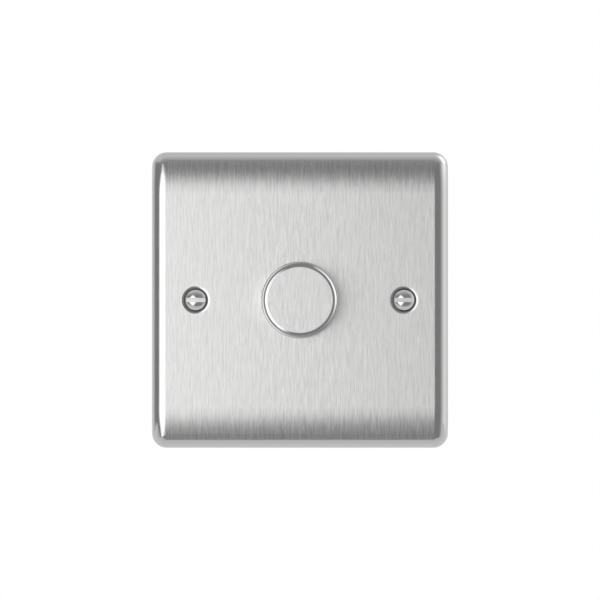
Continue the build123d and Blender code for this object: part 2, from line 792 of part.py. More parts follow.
def make_case_screw(x, z):
    """A pan-head screw from the housing's back into the mounting plate."""
    head_back = case_head_front + case_screw_head_thickness
    head = rod(case_screw_head_radius, case_head_front, head_back, x, z)
    head = fillet(head.edges().group_by(Axis.Y)[-1], case_screw_head_thickness / 3)
    shank = rod(case_screw_radius, plate_inside + 2 * fit_clearance, case_head_front, x, z)
    arm, half = case_screw_cross_length / 2, case_screw_cross_width / 2
    sunk = (head_back - case_screw_head_thickness / 2, head_back + 1)
    cross = block((x - arm, x + arm), sunk, (z - half, z + half))
    cross += block((x - half, x + half), sunk, (z - arm, z + arm))
    return head + shank - cross


def make_terminal(x):
    """A brass block with a wire bore from below, a tapped screw hole and two board pins."""
    half = terminal_width / 2
    z = (terminal_z - terminal_length / 2, terminal_z + terminal_length / 2)
    body = block((x - half, x + half), (board_back, terminal_back), z)
    body = chamfer(body.edges().group_by(Axis.Y)[-1], terminal_chamfer)
    body -= upright_rod(wire_bore_radius, z[0] - 1, z[1] + 1, x, wire_bore_y)
    body -= rod(terminal_screw_radius + thread_clearance, wire_bore_y, terminal_back + 1, x, terminal_z)
    for pin_z in terminal_pin_places:
        body += rod(lead_radius, board_front - solder_tail, board_back + fit_clearance, x, pin_z)
    return body


# Electronics: the triac stands on the heat sink at the lower left with the diac on the board behind
# it, the choke is at the upper right with the fuse below it, and a resistor lies between each two
# terminals.
triac_x = -module_width / 2 + housing_wall + triac_side_gap + triac_width / 2
triac_low = -module_length / 2 + housing_wall + triac_end_gap
triac_body_low = triac_low + triac_tab_length
triac_body_high = triac_body_low + triac_body_length
triac_hole_z = triac_low + triac_tab_length / 2
triac_front = sink_back + insulator_thickness
triac_leads = [(triac_x + i * triac_lead_pitch, triac_body_high + lead_bend) for i in (-1, 0, 1)]

choke_turn_radius = choke_core_radius + slide_clearance + choke_wire / 2
choke_reach = choke_turn_radius + choke_wire / 2
choke_x = module_width / 2 - housing_wall - choke_gap - choke_reach
choke_z = module_length / 2 - housing_wall - choke_gap - choke_reach
choke_back = board_front - choke_wire - slide_clearance
choke_front = choke_back - choke_core_height
choke_leads = [(choke_x + side * choke_turn_radius * sin(pi / choke_turns),
                choke_z - choke_turn_radius * cos(pi / choke_turns)) for side in (-1, 1)]

big_capacitor_z = (cover_radius + module_length / 2 - housing_wall) / 2
big_capacitor_leads = [(big_capacitor_x + side * big_capacitor_lead_pitch / 2, big_capacitor_z)
                       for side in (-1, 1)]
small_capacitor_x = -cover_radius - small_capacitor_gap - small_capacitor_size[0] / 2
small_capacitor_z = triac_body_high + 2 * lead_bend + small_capacitor_size[2] / 2 + fit_clearance
small_capacitor_leads = [(small_capacitor_x, small_capacitor_z + side * small_capacitor_lead_pitch / 2)
                         for side in (-1, 1)]

fuse_x = module_width / 2 - housing_wall - fuse_side_gap - fuse_radius
fuse_z = choke_z - choke_reach - fuse_end_gap - fuse_length / 2
fuse_y = board_front - fuse_height
clip_places = [fuse_z + side * (fuse_length - fuse_cap_length) / 2 for side in (-1, 1)]

resistor_z = terminal_z + barrier_overhang
resistor_places = [(x + terminal_pitch / 2, resistor_z) for x in terminal_places[:-1]]
diac_place = (triac_x, triac_body_high - lead_bend - diac_length / 2)


def triac_screw_cone(room):
    """The countersunk head and shank of the triac's screw, or with room, the hole for it."""
    head = 2 * triac_screw_radius + room
    shank = triac_screw_radius + room
    return turned([(0, plate_inside), (head, plate_inside), (shank, plate_inside + head - shank),
                   (shank, sink_back + 1), (0, sink_back + 1)], triac_x, triac_hole_z)


def make_triac():
    """A power device with a metal tab against the heat sink and three leads bent to the board."""
    x = (triac_x - triac_width / 2, triac_x + triac_width / 2)
    body_back = triac_front + triac_body_thickness
    tab_back = triac_front + triac_tab_thickness
    body = block(x, (triac_front, body_back), (triac_body_low, triac_body_high))
    body = chamfer(body.edges().group_by(Axis.Y)[-1], triac_edge)
    body += block(x, (triac_front, tab_back), (triac_low, triac_body_low + triac_edge))
    body -= rod(triac_screw_radius + fit_clearance, triac_front - 1, body_back, triac_x, triac_hole_z)
    lead_y = (triac_front + body_back) / 2
    for lead_x, lead_z in triac_leads:
        body += bent_lead(lead_x, lead_y, triac_body_high - triac_edge, lead_z)
    return body


def make_triac_insulator():
    """The thin pad between the triac's tab and the heat sink."""
    half = triac_width / 2 + insulator_margin
    pad = block((triac_x - half, triac_x + half), (sink_back, triac_front),
                (triac_low - insulator_margin, triac_body_high))
    hole = triac_screw_radius + fit_clearance
    return pad - rod(hole, sink_back - 1, triac_front + 1, triac_x, triac_hole_z)


def make_triac_screw():
    """The countersunk screw through the heat sink, with its nut on the triac's tab."""
    nut_front_y = triac_front + triac_tab_thickness + seat_clearance
    nut_back_y = nut_front_y + small_nut_thickness
    end = nut_back_y + triac_screw_radius / 3
    screw = triac_screw_cone(0.0) + rod(triac_screw_radius, sink_back, end, triac_x, triac_hole_z)
    nut = Pos(triac_x, triac_hole_z) * RegularPolygon(small_nut_across_flats / 2, 6, major_radius=False)
    return screw + prism(nut, nut_front_y, nut_back_y)


def make_choke_core():
    core = tube(choke_core_radius, choke_core_bore, choke_front, choke_back, choke_x, choke_z)
    return chamfer(core.edges().filter_by(GeomType.CIRCLE), choke_core_edge)


def make_choke_winding():
    """Turns of thick wire round the ring core, on a thin pad at the board side, with two leads."""
    outer, inner = choke_core_radius + slide_clearance, choke_core_bore - slide_clearance
    front, back = choke_front - slide_clearance, choke_back + slide_clearance
    half = choke_wire / 2
    winding = tube(outer, inner, back, back + choke_wire / 4)
    loop_back = back + choke_wire - slide_clearance
    for i in range(choke_turns):
        loop = block((inner - choke_wire, outer + choke_wire), (front - choke_wire, loop_back), (-half, half))
        loop = loop - block((inner, outer), (front, back), (-choke_wire, choke_wire))
        winding += turn(loop, (i + 0.5) * 360 / choke_turns)
    winding = Pos(choke_x, 0, choke_z) * winding
    for x, z in choke_leads:
        winding += lead(x, z, back, half)
    return winding


def make_capacitor(x, z, size, leads):
    """A moulded box capacitor on the board, with its front edges rounded."""
    width, height, length = size
    back = board_front - fit_clearance
    body = block((x - width / 2, x + width / 2), (back - height, back), (z - length / 2, z + length / 2))
    body = fillet(body.edges().group_by(Axis.Y)[0], capacitor_edge)
    for lead_x, lead_z in leads:
        body += lead(lead_x, lead_z, back - fit_clearance)
    return body


def make_fuse_glass():
    """The fuse's glass tube, solid, between its two caps."""
    reach = fuse_length / 2 - fuse_cap_thickness - seat_clearance
    return upright_rod(fuse_radius - fuse_cap_thickness - seat_clearance, fuse_z - reach, fuse_z + reach,
                       fuse_x, fuse_y)


def make_fuse_caps():
    """Two drawn caps, one on each end of the glass."""
    reach = fuse_length / 2
    whole = upright_rod(fuse_radius, fuse_z - reach, fuse_z + reach, fuse_x, fuse_y)
    whole -= upright_rod(fuse_radius - fuse_cap_thickness, fuse_z - reach + fuse_cap_thickness,
                         fuse_z + reach - fuse_cap_thickness, fuse_x, fuse_y)
    middle = reach - fuse_cap_length
    return whole - upright_rod(2 * fuse_radius, fuse_z - middle, fuse_z + middle, fuse_x, fuse_y)


def make_fuse_clips():
    """Two sprung clips that stand on the board and hold the fuse by its caps."""
    clips = []
    bore = fuse_radius + seat_clearance
    foot_half = bore / 2
    for z in clip_places:
        low, high = z - fuse_clip_width / 2, z + fuse_clip_width / 2
        clip = upright_rod(bore + fuse_clip_thickness, low, high, fuse_x, fuse_y)
        clip += block((fuse_x - foot_half, fuse_x + foot_half), (fuse_y, board_front), (low, high))
        clip -= upright_rod(bore, low - 1, high + 1, fuse_x, fuse_y)
        clip -= block((fuse_x - bore, fuse_x + bore), (fuse_y - 2 * bore, fuse_y - bore / 2),
                      (low - 1, high + 1))
        clips.append(clip + lead(fuse_x, z, board_front - fuse_clip_thickness))
    return Compound(children=clips)


def axial_lead_places(x, z, length):
    return [(x, z + side * (length / 2 + lead_bend)) for side in (-1, 1)]


def make_axial(x, z, radius, length):
    """A small round component lying along Z just off the board, on two bent leads."""
    y = board_front - radius - axial_height
    body = upright_rod(radius, z - length / 2, z + length / 2, x, y)
    body = fillet(body.edges().filter_by(GeomType.CIRCLE), radius / 3)
    for lead_x, lead_z in axial_lead_places(x, z, length):
        body += bent_lead(lead_x, y, z, lead_z)
    return body


def make_board():
    """The circuit board on the housing's ledge, with its corners cut for the screw bosses."""
    half_x = module_width / 2 - housing_wall - fit_clearance
    half_z = module_length / 2 - housing_wall - fit_clearance
    board = prism(RectangleRounded(2 * half_x, 2 * half_z, inner_corner), board_front, board_back)
    reach = case_boss_radius + 2 * fit_clearance
    for x, z in case_screw_places:
        side_x, side_z = (1 if x > 0 else -1), (1 if z > 0 else -1)
        board -= block((x - side_x * reach, side_x * (half_x + 1)), (board_front - 1, board_back + 1),
                       (z - side_z * reach, side_z * (half_z + 1)))
    places = [(x, track_pin_z) for x in track_pin_places]
    places += [(-contact_pad_x, 0.0), (contact_pad_x, 0.0)]
    places += triac_leads + big_capacitor_leads + small_capacitor_leads
    places += [(fuse_x, z) for z in clip_places]
    places += [place for x, z in resistor_places for place in axial_lead_places(x, z, resistor_length)]
    places += axial_lead_places(*diac_place, diac_length)
    places += [(x, z) for x in terminal_places for z in terminal_pin_places]
    for x, z in places:
        board -= rod(lead_radius + slide_clearance, board_front - 1, board_back + 1, x, z)
    for x, z in choke_leads:
        board -= rod(choke_wire / 2 + slide_clearance, board_front - 1, board_back + 1, x, z)
    return board


def build():
    """Every piece of the switch, by name."""
    pieces = {
        "face_plate": make_face_plate(),
        "earth_terminal": make_earth_terminal(),
        "earth_screw": make_clamp_screw(earth_x, earth_z, earth_bore_y, earth_bore_radius, earth_back),
        "knob_shell": make_knob_shell(),
        "knob_core": make_knob_core(),
        "knob_grip_ring": make_grip_ring(),
        "shaft": make_shaft(),
        "shaft_clip": make_shaft_clip(),
        "threaded_bush": make_bush(),
        "lock_washer": make_lock_washer(),
        "bush_nut": make_nut(),
        "pot_cover": make_pot_cover(),
        "rotor": make_rotor(),
        "wiper": make_wiper(),
        "track_wafer": make_wafer(),
        "track_pins": make_track_pins(),
        "switch_body": make_switch_body(),
        "switch_plunger": make_plunger(),
        "moving_contact": make_moving_contact(),
        "return_spring": make_return_spring(),
        "latch_wire": make_latch_wire(),
        "heat_sink": make_heat_sink(),
        "housing": make_housing(),
        "circuit_board": make_board(),
        "triac": make_triac(),
        "triac_insulator": make_triac_insulator(),
        "triac_screw": make_triac_screw(),
        "choke_core": make_choke_core(),
        "choke_winding": make_choke_winding(),
        "suppression_capacitor": make_capacitor(big_capacitor_x, big_capacitor_z, big_capacitor_size,
                                                big_capacitor_leads),
        "timing_capacitor": make_capacitor(small_capacitor_x, small_capacitor_z, small_capacitor_size,
                                           small_capacitor_leads),
        "fuse_glass": make_fuse_glass(),
        "fuse_caps": make_fuse_caps(),
        "fuse_clips": make_fuse_clips(),
        "diac": make_axial(*diac_place, diac_radius, diac_length),
    }
    for side, name in ((-1, "left"), (1, "right")):
        pieces["fixing_screw_" + name] = make_fixing_screw(side * screw_x)
        pieces["screw_retainer_" + name] = make_retainer(side * screw_x)
        pieces["fixed_contact_" + name] = make_fixed_contact(side)
    for i, (x, z) in enumerate(resistor_places):
        pieces[f"resistor_{i + 1}"] = make_axial(x, z, resistor_radius, resistor_length)
    for i, (x, z) in enumerate(case_screw_places):
        pieces[f"case_screw_{i + 1}"] = make_case_screw(x, z)
    for x, name in zip(terminal_places, terminal_names):
        pieces["terminal_" + name] = make_terminal(x)
        pieces["terminal_screw_" + name] = make_clamp_screw(x, terminal_z, wire_bore_y, wire_bore_radius,
                                                            terminal_back)
    return pieces


os.makedirs("parts", exist_ok=True)
for node, shape in build().items():
    export_step(shape, f"parts/{node}.step")
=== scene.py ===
from math import cos, pi, radians, sin, sqrt

import bmesh
import bpy
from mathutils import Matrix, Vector


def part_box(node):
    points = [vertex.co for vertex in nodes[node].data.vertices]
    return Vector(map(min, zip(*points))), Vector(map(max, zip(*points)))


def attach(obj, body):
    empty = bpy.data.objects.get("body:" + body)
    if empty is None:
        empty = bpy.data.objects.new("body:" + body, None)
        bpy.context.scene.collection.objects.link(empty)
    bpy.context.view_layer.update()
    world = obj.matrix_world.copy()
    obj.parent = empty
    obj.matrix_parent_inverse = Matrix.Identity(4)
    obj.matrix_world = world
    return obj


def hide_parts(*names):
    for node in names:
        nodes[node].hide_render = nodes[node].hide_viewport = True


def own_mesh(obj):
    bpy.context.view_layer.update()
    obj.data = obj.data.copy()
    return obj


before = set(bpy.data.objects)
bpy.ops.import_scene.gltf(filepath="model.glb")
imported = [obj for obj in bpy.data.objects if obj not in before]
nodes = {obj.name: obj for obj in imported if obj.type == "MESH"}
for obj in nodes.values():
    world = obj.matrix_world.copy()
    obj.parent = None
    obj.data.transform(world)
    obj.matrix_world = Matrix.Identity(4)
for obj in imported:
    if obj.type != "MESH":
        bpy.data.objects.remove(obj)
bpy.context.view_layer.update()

# A one-gang wall dimmer switch in a plain studio. The frame gives every piece at its real size.
# This script finishes their surfaces, makes the fixing screws' threads, the fine form of the
# knob's groove and a copy of the return spring on its own mesh, and sets the stage.
#
# Metres. +X is right and +Z is up, as the switch is seen on the wall. +Y runs into the wall.

MM = 0.001
WELD = 0.0001 * MM

# The photograph's framing: its square covers this width at the plate's face
PHOTO_WIDTH = 173.6 * MM
CAMERA_DISTANCE = 1.0
SENSOR_WIDTH = 36.0

# The studio, as directions from the switch in degrees: azimuth from straight ahead of it towards
# its right, elevation above the horizon, and pitch from straight ahead up over the top of it.
# A brightness of 1 is white, and an edge is where one brightness starts to give way and has given
# way to the next.
STUDIO_RADIUS = 2.5
STUDIO_COLUMNS, STUDIO_ROWS = 90, 44
ROOM = 0.26

# The softbox: its corners, the height of its middle and how it climbs with azimuth, its rounding
# from a diamond (1) to an ellipse (2), its edge as shares of its size, and its brighter left part
SOFTBOX_LEFT, SOFTBOX_CENTRE, SOFTBOX_RIGHT = -56.0, -29.0, 6.4
SOFTBOX_TOP = 41.0
SOFTBOX_LEVEL, SOFTBOX_LEAN = -1.0, 0.1
SOFTBOX_ROUNDNESS = 1.5
SOFTBOX_EDGE = (0.55, 1.2)
SOFTBOX_TONE, SOFTBOX_CORE, SOFTBOX_CORE_EDGE = 1.45, 0.3, (-6.0, -22.0)

# What the walls and the ceiling add to the room
RIGHT_WALL, RIGHT_WALL_EDGE = 0.72, (42.0, 94.0)
RIGHT_WALL_BACK, RIGHT_WALL_BACK_EDGE = -0.23, (98.0, 135.0)
LEFT_WALL, LEFT_WALL_EDGE = 0.49, (-90.0, -126.0)
CEILING, CEILING_EDGE = 0.44, (30.0, 90.0)
WALL_TOP_EDGE = (20.0, 45.0)
REAR_LAMP, REAR_LAMP_SIZE, REAR_LAMP_TONE = (110.0, 42.0), (22.0, 22.0), 1.3

# The floor, in metres, and how bright it is in reflections, at its front and further in
FLOOR_HALF = 2.2
FLOOR_DROP = 0.6
FLOOR_FRONT, FLOOR_INNER = -0.5, 0.2
FLOOR_TONE_FRONT, FLOOR_TONE_INNER = 0.62, 0.77
FLOOR_COLOUR, FLOOR_MOTTLE, FLOOR_SHADES = (0.86, 0.86, 0.855), 0.02, (0.985, 1.015)

# Node trees
NOISE_RANGE = (0.3, 0.7)


class Surface:
    """One material: a Principled shader and the nodes that feed it."""

    def __init__(self, name, metallic=0.0, roughness=0.5, colour=(0.8, 0.8, 0.8), **constants):
        self.material = bpy.data.materials.new(name)
        self.material.use_nodes = True
        self.tree = self.material.node_tree
        self.shader = self.tree.nodes["Principled BSDF"]
        self.set("Metallic", metallic)
        self.set("Roughness", roughness)
        self.set("Base Color", colour)
        for socket, value in constants.items():
            self.set(socket.replace("_", " "), value)
        self.place = self.node("ShaderNodeTexCoord").outputs["Object"]

    def set(self, socket, value):
        """Gives a socket of the shader a plain value, or what another node says."""
        self.feed(self.shader.inputs[socket], value)

    def feed(self, socket, value):
        """Gives any socket a plain value, or what another node says, or leaves it."""
        if isinstance(value, bpy.types.NodeSocket):
            self.tree.links.new(value, socket)
        elif value is not None:
            plain = tuple(value) + (1.0,) if socket.type == "RGBA" and len(value) == 3 else value
            socket.default_value = plain

    def node(self, kind, inputs=(), **settings):
        """A new node with its settings and named inputs."""
        made = self.tree.nodes.new(kind)
        for name, value in settings.items():
            setattr(made, name, value)
        for name, value in dict(inputs).items():
            self.feed(made.inputs[name], value)
        return made

    def maths(self, operation, a, b=None, c=None):
        made = self.node("ShaderNodeMath", operation=operation)
        for socket, value in zip(made.inputs, (a, b, c)):
            self.feed(socket, value)
        return made.outputs[0]

    def vector(self, operation, a, b=None, c=None):
        made = self.node("ShaderNodeVectorMath", operation=operation)
        for socket, value in zip(made.inputs, (a, b, c)):
            self.feed(socket, value)
        return made.outputs["Value" if operation in ("DOT_PRODUCT", "LENGTH") else "Vector"]

    def axis(self, name):
        """One coordinate of the place, in metres."""
        return self.node("ShaderNodeSeparateXYZ", {"Vector": self.place}).outputs[name]

    def ramp(self, value, low, high, start=0.0, end=1.0, smooth=True):
        """Goes from start to end as value goes from low to high."""
        kind = "SMOOTHSTEP" if smooth else "LINEAR"
        made = self.node("ShaderNodeMapRange", {"Value": value, "From Min": low, "From Max": high,
                                                "To Min": start, "To Max": end}, interpolation_type=kind)
        return made.outputs["Result"]

    def fade(self, value, start, width):
        """1 up to start, falling to 0 over the width after it."""
        return self.ramp(value, start, start + width, 1.0, 0.0)

    def grade(self, noise, low, high, smooth=True):
        """Goes from low to high over the usual range of a noise."""
        return self.ramp(noise, *NOISE_RANGE, low, high, smooth)

    def average(self, a, b):
        return self.maths("MULTIPLY_ADD", a, 0.5, self.maths("MULTIPLY", b, 0.5))

    def noise(self, size, detail=2.0, roughness=0.5, shift=0.0):
        """Noise about 0.5, with features of size (x, y, z) metres, or one size for all three."""
        sizes = size if isinstance(size, tuple) else (size, size, size)
        scaled = self.vector("MULTIPLY", self.place, [1.0 / s for s in sizes])
        moved = self.vector("ADD", scaled, (shift, shift, shift))
        made = self.node("ShaderNodeTexNoise", {"Vector": moved, "Scale": 1.0, "Detail": detail,
                                                "Roughness": roughness})
        return made.outputs["Fac"]

    def blend(self, share, a, b):
        """The colour a, going to b as share goes from 0 to 1."""
        made = self.node("ShaderNodeMix", data_type="RGBA")
        self.feed(made.inputs["Factor"], share)
        self.feed(made.inputs[6], a)
        self.feed(made.inputs[7], b)
        return made.outputs[2]

    def mix(self, share, a, b):
        """The number a, going to b as share goes from 0 to 1."""
        made = self.node("ShaderNodeMix", data_type="FLOAT")
        self.feed(made.inputs["Factor"], share)
        self.feed(made.inputs[2], a)
        self.feed(made.inputs[3], b)
        return made.outputs[0]

    def bell(self, value):
        """1 at 0, falling to 0 on both sides as value passes 1 or so."""
        square = self.maths("MULTIPLY", value, value)
        return self.maths("EXPONENT", self.maths("MULTIPLY", square, -1.0))

    def shades(self, share, colour, dark, light):
        """A colour that goes from dark to light times itself as share goes from 0 to 1."""
        return self.blend(share, [c * dark for c in colour], [min(c * light, 1.0) for c in colour])

    def bump(self, height, depth):
        """Raises the surface by height times depth metres."""
        made = self.node("ShaderNodeBump", {"Height": height, "Distance": depth, "Strength": 1.0})
        self.set("Normal", made.outputs["Normal"])


def give(material, *names):
    """Puts one material on whole CAD nodes."""
    for name in names:
        slots = nodes[name].data.materials
        slots.clear()
        slots.append(material)


# Metals
STEEL = (0.66, 0.66, 0.655)
STREAK_WIDTHS = (0.2 * MM, 0.55 * MM)
STREAK_LENGTHS = (4.5 * MM, 26.0 * MM)
STREAK_REACH = 20
LONG_STREAKS = 0.15
STREAK_DEPTH = 0.007 * MM
ANISOTROPY = 0.85
BRUSH_SHADES, BRUSH_ROUGHNESS = (0.86, 1.14), (0.19, 0.24)
POLISH_ROUGHNESS = (0.09, 0.13)
DULL_STEEL, DULL_SHADES, DULL_ROUGHNESS = (0.46, 0.46, 0.455), (0.85, 1.1), (0.42, 0.5)
# How dark the painted shade is, as a share of the steel's colour
PAINTED_SHADE = 0.3

# Keeps a direction for the grain where the surface faces straight up or down
LEVEL_TILT = 0.002


def streaks(surface):
    """Fine upright brush marks: short ones over a few long ones. Through the sheet they hardly change."""
    sizes = [(width, width * STREAK_REACH, length) for width, length in zip(STREAK_WIDTHS, STREAK_LENGTHS)]
    short = surface.noise(sizes[0], 3.0, 0.6)
    long = surface.noise(sizes[1], 2.0, 0.6, shift=7.0)
    return surface.mix(LONG_STREAKS, short, long)


def brushed(name, brushed_share, dull_share=None, painted_shade_share=None):
    """Satin steel: brushed upright where brushed_share(surface) is 1 and polished where it is 0. Where
    dull_share is 1 it is plain rolled sheet, and where painted_shade_share is 1 it is darkened with painted
    shade."""
    surface = Surface(name, metallic=1.0, Anisotropic=ANISOTROPY)
    brush = brushed_share(surface)
    marks = streaks(surface)
    shade = surface.grade(marks, 0.0, 1.0, smooth=False)
    colour = surface.blend(brush, STEEL, surface.shades(shade, STEEL, *BRUSH_SHADES))
    smears = surface.grade(surface.noise(4.0 * MM), *POLISH_ROUGHNESS)
    rough = surface.mix(brush, smears, surface.grade(marks, *BRUSH_ROUGHNESS, smooth=False))
    if dull_share:
        dull = dull_share(surface)
        bloom = surface.noise(6.0 * MM, 5.0, 0.6, shift=2.0)
        colour = surface.blend(dull, colour, surface.shades(bloom, DULL_STEEL, *DULL_SHADES))
        rough = surface.mix(dull, rough, surface.grade(bloom, *DULL_ROUGHNESS))
    # Painted shade: the steel's colour darkened where the share is 1
    if painted_shade_share:
        colour = surface.blend(painted_shade_share(surface), colour, [c * PAINTED_SHADE for c in STEEL])
    surface.set("Base Color", colour)
    surface.set("Roughness", rough)
    surface.bump(surface.maths("MULTIPLY", marks, brush), STREAK_DEPTH)
    normal = surface.node("ShaderNodeNewGeometry").outputs["Normal"]
    upright = surface.node("ShaderNodeVectorTransform", {"Vector": (0.0, 0.0, 1.0)},
                           vector_type="VECTOR", convert_from="OBJECT", convert_to="WORLD")
    level = surface.vector("CROSS_PRODUCT", upright.outputs[0], normal)
    surface.set("Tangent", surface.vector("ADD", level, (LEVEL_TILT, 0.0, 0.0)))
    return surface.material


# Where one finish starts to give way to another, and over what width
PLATE_POLISH_X, PLATE_FADE_X = 38.75 * MM, 0.4 * MM
PLATE_POLISH_Z, PLATE_FADE_Z = 40.0 * MM, 0.6 * MM
DIMPLE_POLISH_RADIUS, DIMPLE_FADE = 4.1 * MM, 0.3 * MM
# The ring of painted shade round each fixing screw's head, and its fade
DIMPLE_SHADE_RADIUS, DIMPLE_SHADE_FADE = 3.45 * MM, 0.15 * MM
KNOB_FACE_RADIUS, KNOB_FACE_FADE = 9.4 * MM, 0.1 * MM
INSIDE_REACH = 5.0 * MM
PLATE_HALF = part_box("face_plate")[1].x
SCREW_X = sum(corner.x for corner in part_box("fixing_screw_right")) / 2


def screw_distance(surface):
    """How far a place is from the nearer fixing screw's axis."""
    from_screw = surface.maths("SUBTRACT", surface.maths("ABSOLUTE", surface.axis("X")), SCREW_X)
    place = surface.node("ShaderNodeCombineXYZ", {"X": from_screw, "Z": surface.axis("Z")})
    return surface.vector("LENGTH", place.outputs[0])


def plate_brushed(surface):
    """The plate's brush stops where its edges roll over and where its dimples dip."""
    across = surface.maths("ABSOLUTE", surface.axis("X"))
    up = surface.maths("ABSOLUTE", surface.axis("Z"))
    between_sides = surface.fade(across, PLATE_POLISH_X, PLATE_FADE_X)
    between_ends = surface.fade(up, PLATE_POLISH_Z, PLATE_FADE_Z)
    flat = surface.maths("MULTIPLY", between_sides, between_ends)
    past_dimples = surface.ramp(screw_distance(surface), DIMPLE_POLISH_RADIUS,
                                DIMPLE_POLISH_RADIUS + DIMPLE_FADE)
    return surface.maths("MULTIPLY", flat, past_dimples)


def plate_inside(surface):
    """The plate's hollow back, whose surfaces face inwards or towards the wall."""
    normal = surface.node("ShaderNodeTexCoord").outputs["Normal"]
    outwards = surface.vector("MULTIPLY_ADD", surface.place, (1.0, 0.0, 1.0), (0.0, -PLATE_HALF, 0.0))
    facing = surface.vector("DOT_PRODUCT", normal, outwards)
    return surface.ramp(facing, -INSIDE_REACH, INSIDE_REACH, 1.0, 0.0)


def dimple_shadow(surface):
    """Painted shade: a dark ring painted round each fixing screw's head, in the gap where shade falls."""
    return surface.fade(screw_distance(surface), DIMPLE_SHADE_RADIUS, DIMPLE_SHADE_FADE)


def knob_brushed(surface):
    """The knob's brush covers its face, inside the groove."""
    spread = surface.vector("LENGTH", surface.vector("MULTIPLY", surface.place, (1.0, 0.0, 1.0)))
    return surface.fade(spread, KNOB_FACE_RADIUS - KNOB_FACE_FADE, KNOB_FACE_FADE)


def polished(name, colour, roughness, marks):
    """Smooth bright metal with faint handling marks."""
    surface = Surface(name, metallic=1.0)
    wear = surface.noise(marks, 4.0, 0.6)
    surface.set("Base Color", surface.shades(wear, colour, 0.94, 1.05))
    surface.set("Roughness", surface.grade(wear, roughness * 0.8, roughness * 1.25))
    surface.bump(wear, 0.002 * MM)
    return surface.material


def turned_metal(name, colour, roughness):
    """Machined metal: fine tool marks in rings about Y, with a little tarnish."""
    surface = Surface(name, metallic=1.0)
    tarnish = surface.noise(2.2 * MM, 4.0, 0.65)
    rings = surface.noise((30 * MM, 0.12 * MM, 30 * MM), 2.0, 0.5)
    surface.set("Base Color", surface.shades(surface.ramp(tarnish, 0.3, 0.75), colour, 1.05, 0.72))
    both = surface.average(rings, tarnish)
    surface.set("Roughness", surface.grade(both, roughness * 0.75, roughness * 1.3))
    surface.bump(rings, 0.006 * MM)
    return surface.material


def mill_finish(name, colour, roughness, along):
    """Rolled sheet, with faint drawn lines along one direction and a mottled bloom."""
    surface = Surface(name, metallic=1.0)
    size = tuple(40 * MM if axis == along else 0.25 * MM for axis in "XYZ")
    lines = surface.noise(size, 3.0, 0.6)
    bloom = surface.noise(5 * MM, 5.0, 0.6)
    both = surface.average(lines, bloom)
    surface.set("Base Color", surface.shades(both, colour, 0.9, 1.08))
    surface.set("Roughness", surface.grade(both, roughness * 0.8, roughness * 1.3))
    surface.bump(lines, 0.005 * MM)
    return surface.material


# Plastics and the rest
def moulded(name, colour, roughness, grain, depth, light=1.06):
    """Moulded plastic with a fine spark-eroded grain and faint clouds, up to light times its colour."""
    surface = Surface(name)
    texture = surface.noise(grain, 4.0, 0.7)
    cloud = surface.noise(9 * MM, 3.0, 0.5, shift=3.0)
    surface.set("Base Color", surface.shades(cloud, colour, 0.9, light))
    surface.set("Roughness", surface.ramp(texture, 0.25, 0.75, roughness * 0.85, roughness * 1.15))
    surface.bump(texture, depth)
    return surface.material


def circuit_laminate():
    """Green coated laminate with the weave of its glass cloth faintly showing."""
    surface = Surface("board_mat")
    pitch = 0.5 * MM
    warp, weft = (surface.maths("SINE", surface.maths("MULTIPLY", surface.axis(name), 2 * pi / pitch))
                  for name in "XZ")
    weave = surface.ramp(surface.maths("MULTIPLY", warp, weft), -1.0, 1.0)
    surface.set("Base Color", surface.shades(weave, (0.06, 0.27, 0.10), 0.85, 1.15))
    surface.set("Roughness", surface.grade(surface.noise(2 * MM), 0.25, 0.4))
    surface.bump(weave, 0.01 * MM)
    return surface.material


def clear_glass():
    """Clear glass with faint smears."""
    surface = Surface("fuse_glass_mat", colour=(0.95, 0.98, 0.97), Transmission_Weight=0.9, IOR=1.5)
    surface.set("Roughness", surface.grade(surface.noise(1.5 * MM), 0.02, 0.06))
    return surface.material


